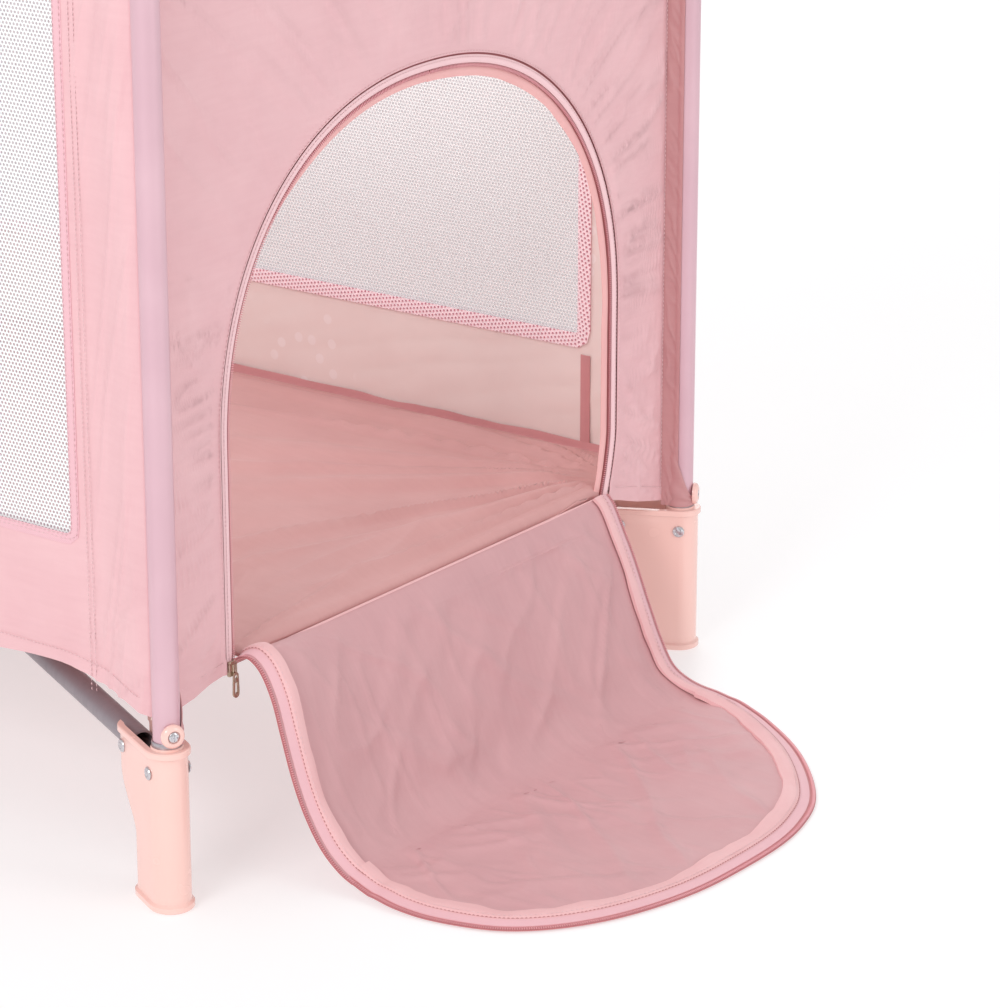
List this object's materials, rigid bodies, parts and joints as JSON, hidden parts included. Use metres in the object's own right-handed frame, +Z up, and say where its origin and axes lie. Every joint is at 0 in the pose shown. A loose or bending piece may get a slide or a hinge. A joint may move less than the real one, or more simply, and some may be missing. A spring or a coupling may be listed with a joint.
{
  "type": "playpen",
  "caption": "Folding playpen with four tube legs in foot brackets, padded drop rails, a mesh-windowed fabric cover and an arched zip door whose flap lies open on the floor.",
  "frame": {"origin": "on the floor under the centre hub's foot", "axes": "+X to the end with the zip door, +Z up, long sides facing -Y and +Y"},
  "size_m": [1.5012, 0.6526, 0.76],
  "materials": {
    "leg_tube": "satin powder coat",
    "base_tube": "satin powder coat",
    "rail_tube": "bare zinc plate",
    "peach_plastic": "gloss",
    "hub_plastic": "matt",
    "cover_fabric": "satin polyester",
    "floor_fabric": "satin polyester",
    "flap_fabric": "satin polyester",
    "webbing": "woven",
    "zip_metal": "polished"
  },
  "bodies": {
    "leg_door_left": {"leg_tube_door_left": "leg_tube", "foot_bracket_door_left": "peach_plastic", "corner_button_door_left": "peach_plastic", "corner_cap_door_left": "peach_plastic", "cover_door_left": "cover_fabric", "zip_slider": "zip_metal"},
    "base_door_left": {"base_tube_door_left": "base_tube", "floor_cloth_door_left": "floor_fabric"},
    "long_rail_door_left": {"long_rail_door_left": "rail_tube", "long_sleeve_door_left": "cover_fabric"},
    "end_rail_door_left": {"end_rail_door_left": "rail_tube", "end_sleeve_door_left": "cover_fabric"},
    "leg_door_right": {"leg_tube_door_right": "leg_tube", "foot_bracket_door_right": "peach_plastic", "corner_button_door_right": "peach_plastic", "corner_cap_door_right": "peach_plastic", "cover_door_right": "cover_fabric"},
    "base_door_right": {"base_tube_door_right": "base_tube", "floor_cloth_door_right": "floor_fabric"},
    "long_rail_door_right": {"long_rail_door_right": "rail_tube", "long_sleeve_door_right": "cover_fabric"},
    "end_rail_door_right": {"end_rail_door_right": "rail_tube", "end_sleeve_door_right": "cover_fabric"},
    "leg_rear_left": {"leg_tube_rear_left": "leg_tube", "foot_bracket_rear_left": "peach_plastic", "corner_button_rear_left": "peach_plastic", "corner_cap_rear_left": "peach_plastic", "cover_rear_left": "cover_fabric"},
    "base_rear_left": {"base_tube_rear_left": "base_tube", "floor_cloth_rear_left": "floor_fabric"},
    "long_rail_rear_left": {"long_rail_rear_left": "rail_tube", "long_sleeve_rear_left": "cover_fabric"},
    "end_rail_rear_left": {"end_rail_rear_left": "rail_tube", "end_sleeve_rear_left": "cover_fabric"},
    "leg_rear_right": {"leg_tube_rear_right": "leg_tube", "foot_bracket_rear_right": "peach_plastic", "corner_button_rear_right": "peach_plastic", "corner_cap_rear_right": "peach_plastic", "cover_rear_right": "cover_fabric"},
    "base_rear_right": {"base_tube_rear_right": "base_tube", "floor_cloth_rear_right": "floor_fabric"},
    "long_rail_rear_right": {"long_rail_rear_right": "rail_tube", "long_sleeve_rear_right": "cover_fabric"},
    "end_rail_rear_right": {"end_rail_rear_right": "rail_tube", "end_sleeve_rear_right": "cover_fabric"},
    "hub": {"hub_body": "hub_plastic", "hub_foot": "hub_plastic", "hub_cap": "peach_plastic", "pull_strap": "webbing"},
    "lock_left": {"rail_lock_left": "peach_plastic"},
    "lock_button_left": {"lock_button_left": "hub_plastic"},
    "lock_right": {"rail_lock_right": "peach_plastic"},
    "lock_button_right": {"lock_button_right": "hub_plastic"},
    "lock_door_end": {"rail_lock_door_end": "peach_plastic"},
    "lock_button_door_end": {"lock_button_door_end": "hub_plastic"},
    "lock_rear_end": {"rail_lock_rear_end": "peach_plastic"},
    "lock_button_rear_end": {"lock_button_rear_end": "hub_plastic"},
    "flap_upper": {"door_flap_upper": "flap_fabric"},
    "flap_lower": {"door_flap_lower": "flap_fabric"},
    "zip_pull": {"zip_pull": "zip_metal"}
  },
  "joints": [
    {"name": "frame_fold", "type": "hinge", "parent": "leg_door_left", "child": "base_door_left", "pos_m": [0.56721, -0.28825, 0.103], "axis": [0.4531, 0.8915, 0], "range_deg": [0, 80], "deforming": ["cover_door_left", "cover_door_right", "cover_rear_left", "cover_rear_right", "floor_cloth_door_left", "floor_cloth_door_right", "floor_cloth_rear_left", "floor_cloth_rear_right", "pull_strap", "door_flap_upper", "door_flap_lower"]},
    {"name": "hub_level", "type": "hinge", "parent": "base_door_left", "child": "hub", "pos_m": [0.05527, -0.02809, 0.103], "axis": [0.4531, 0.8915, 0], "range_deg": [-80, 0]},
    {"name": "base_fold_door_right", "type": "hinge", "parent": "hub", "child": "base_door_right", "pos_m": [0.05527, 0.02809, 0.103], "axis": [-0.4531, 0.8915, 0], "range_deg": [0, 80]},
    {"name": "leg_level_door_right", "type": "hinge", "parent": "base_door_right", "child": "leg_door_right", "pos_m": [0.56721, 0.28825, 0.103], "axis": [-0.4531, 0.8915, 0], "range_deg": [-80, 0]},
    {"name": "base_fold_rear_left", "type": "hinge", "parent": "hub", "child": "base_rear_left", "pos_m": [-0.05527, -0.02809, 0.103], "axis": [0.4531, -0.8915, 0], "range_deg": [0, 80]},
    {"name": "leg_level_rear_left", "type": "hinge", "parent": "base_rear_left", "child": "leg_rear_left", "pos_m": [-0.56721, -0.28825, 0.103], "axis": [0.4531, -0.8915, 0], "range_deg": [-80, 0]},
    {"name": "base_fold_rear_right", "type": "hinge", "parent": "hub", "child": "base_rear_right", "pos_m": [-0.05527, 0.02809, 0.103], "axis": [-0.4531, -0.8915, 0], "range_deg": [0, 80]},
    {"name": "leg_level_rear_right", "type": "hinge", "parent": "base_rear_right", "child": "leg_rear_right", "pos_m": [-0.56721, 0.28825, 0.103], "axis": [-0.4531, -0.8915, 0], "range_deg": [-80, 0]},
    {"name": "long_rail_fold_door_left", "type": "hinge", "parent": "leg_door_left", "child": "long_rail_door_left", "pos_m": [0.56, -0.31, 0.735], "axis": [0, -1, 0], "range_deg": [0, 80]},
    {"name": "end_rail_fold_door_left", "type": "hinge", "parent": "leg_door_left", "child": "end_rail_door_left", "pos_m": [0.61, -0.283, 0.735], "axis": [-1, 0, 0], "range_deg": [0, 80]},
    {"name": "long_rail_fold_door_right", "type": "hinge", "parent": "leg_door_right", "child": "long_rail_door_right", "pos_m": [0.56, 0.31, 0.735], "axis": [0, -1, 0], "range_deg": [0, 80]},
    {"name": "end_rail_fold_door_right", "type": "hinge", "parent": "leg_door_right", "child": "end_rail_door_right", "pos_m": [0.61, 0.283, 0.735], "axis": [1, 0, 0], "range_deg": [0, 80]},
    {"name": "long_rail_fold_rear_left", "type": "hinge", "parent": "leg_rear_left", "child": "long_rail_rear_left", "pos_m": [-0.56, -0.31, 0.735], "axis": [0, 1, 0], "range_deg": [0, 80]},
    {"name": "end_rail_fold_rear_left", "type": "hinge", "parent": "leg_rear_left", "child": "end_rail_rear_left", "pos_m": [-0.61, -0.283, 0.735], "axis": [-1, 0, 0], "range_deg": [0, 80]},
    {"name": "long_rail_fold_rear_right", "type": "hinge", "parent": "leg_rear_right", "child": "long_rail_rear_right", "pos_m": [-0.56, 0.31, 0.735], "axis": [0, 1, 0], "range_deg": [0, 80]},
    {"name": "end_rail_fold_rear_right", "type": "hinge", "parent": "leg_rear_right", "child": "end_rail_rear_right", "pos_m": [-0.61, 0.283, 0.735], "axis": [1, 0, 0], "range_deg": [0, 80]},
    {"name": "lock_level_left", "type": "hinge", "parent": "long_rail_door_left", "child": "lock_left", "pos_m": [0.04806, -0.31, 0.735], "axis": [0, -1, 0], "range_deg": [-80, 0]},
    {"name": "lock_level_right", "type": "hinge", "parent": "long_rail_door_right", "child": "lock_right", "pos_m": [0.04806, 0.31, 0.735], "axis": [0, -1, 0], "range_deg": [-80, 0]},
    {"name": "lock_level_door_end", "type": "hinge", "parent": "end_rail_door_left", "child": "lock_door_end", "pos_m": [0.61, -0.02284, 0.735], "axis": [-1, 0, 0], "range_deg": [-80, 0]},
    {"name": "lock_level_rear_end", "type": "hinge", "parent": "end_rail_rear_left", "child": "lock_rear_end", "pos_m": [-0.61, -0.02284, 0.735], "axis": [-1, 0, 0], "range_deg": [-80, 0]},
    {"name": "lock_press_left", "type": "slide", "parent": "lock_left", "child": "lock_button_left", "axis": [0, 0, -1], "range_m": [0, 0.004], "stiffness_N_per_m": 400, "springref_m": -0.003},
    {"name": "lock_press_right", "type": "slide", "parent": "lock_right", "child": "lock_button_right", "axis": [0, 0, -1], "range_m": [0, 0.004], "stiffness_N_per_m": 400, "springref_m": -0.003},
    {"name": "lock_press_door_end", "type": "slide", "parent": "lock_door_end", "child": "lock_button_door_end", "axis": [0, 0, -1], "range_m": [0, 0.004], "stiffness_N_per_m": 400, "springref_m": -0.003},
    {"name": "lock_press_rear_end", "type": "slide", "parent": "lock_rear_end", "child": "lock_button_rear_end", "axis": [0, 0, -1], "range_m": [0, 0.004], "stiffness_N_per_m": 400, "springref_m": -0.003},
    {"name": "door_flap_swing", "type": "hinge", "parent": "leg_door_left", "child": "flap_upper", "pos_m": [0.6006, 0, 0.153], "axis": [0, -1, 0], "range_deg": [0, 155.8]},
    {"name": "door_flap_crease", "type": "hinge", "parent": "flap_upper", "child": "flap_lower", "pos_m": [0.66824, 0, 0.0025], "axis": [0, -1, 0], "range_deg": [-65.81, 0]},
    {"name": "zip_pull_swing", "type": "hinge", "parent": "leg_door_left", "child": "zip_pull", "pos_m": [0.6032, -0.2295, 0.143], "axis": [0, -1, 0], "range_deg": [0, 130]}
  ],
  "couplings": [
    {"joint": "hub_level", "follows": "frame_fold", "ratio": -1},
    {"joint": "base_fold_door_right", "follows": "frame_fold", "ratio": 1},
    {"joint": "leg_level_door_right", "follows": "frame_fold", "ratio": -1},
    {"joint": "base_fold_rear_left", "follows": "frame_fold", "ratio": 1},
    {"joint": "leg_level_rear_left", "follows": "frame_fold", "ratio": -1},
    {"joint": "base_fold_rear_right", "follows": "frame_fold", "ratio": 1},
    {"joint": "leg_level_rear_right", "follows": "frame_fold", "ratio": -1},
    {"joint": "long_rail_fold_door_left", "follows": "frame_fold", "ratio": 1},
    {"joint": "end_rail_fold_door_left", "follows": "frame_fold", "ratio": 1},
    {"joint": "long_rail_fold_door_right", "follows": "frame_fold", "ratio": 1},
    {"joint": "end_rail_fold_door_right", "follows": "frame_fold", "ratio": 1},
    {"joint": "long_rail_fold_rear_left", "follows": "frame_fold", "ratio": 1},
    {"joint": "end_rail_fold_rear_left", "follows": "frame_fold", "ratio": 1},
    {"joint": "long_rail_fold_rear_right", "follows": "frame_fold", "ratio": 1},
    {"joint": "end_rail_fold_rear_right", "follows": "frame_fold", "ratio": 1},
    {"joint": "lock_level_left", "follows": "frame_fold", "ratio": -1},
    {"joint": "lock_level_right", "follows": "frame_fold", "ratio": -1},
    {"joint": "lock_level_door_end", "follows": "frame_fold", "ratio": -1},
    {"joint": "lock_level_rear_end", "follows": "frame_fold", "ratio": -1},
    {"joint": "door_flap_crease", "follows": "door_flap_swing", "ratio": -0.42234}
  ]
}
